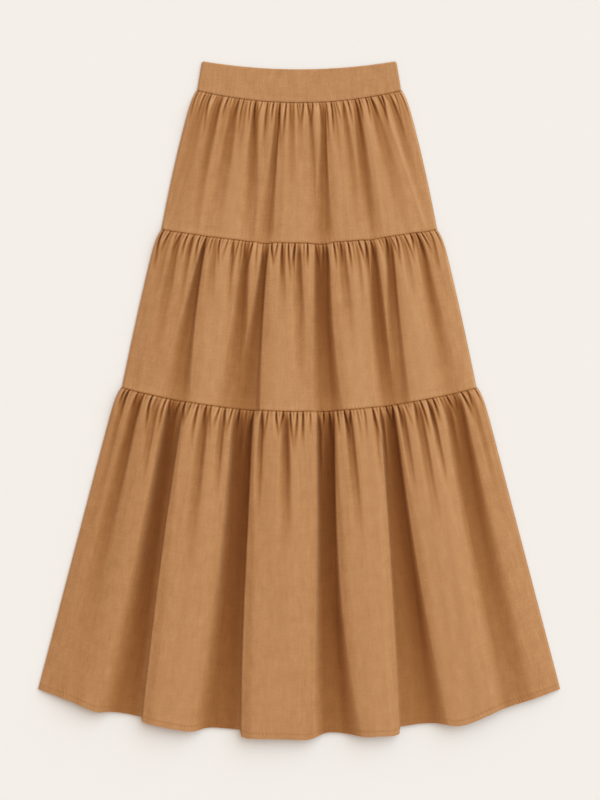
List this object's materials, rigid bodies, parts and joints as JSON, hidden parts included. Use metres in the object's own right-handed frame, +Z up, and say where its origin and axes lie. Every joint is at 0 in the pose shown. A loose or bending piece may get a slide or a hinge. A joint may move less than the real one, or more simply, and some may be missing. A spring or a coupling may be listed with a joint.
{
  "type": "tiered skirt",
  "caption": "Long skirt laid flat, with a plain waistband and gathered tiers that widen to a softly folded hem.",
  "frame": {"origin": "centre of the skirt's outline, on the surface it lies on", "axes": "+X across the skirt, +Y from hem to waist, +Z up from the surface"},
  "size_m": [0.8086, 1.05, 0.0243],
  "materials": {
    "camel_cloth": "matt woven linen and cotton with fine slubs"
  },
  "bodies": {
    "root": {"waistband_front": "camel_cloth", "waistband_back": "camel_cloth", "tier1_front": "camel_cloth", "tier1_back": "camel_cloth", "tier2_front": "camel_cloth", "tier2_back": "camel_cloth", "tier3_front": "camel_cloth", "tier3_back": "camel_cloth"}
  },
  "joints": []
}
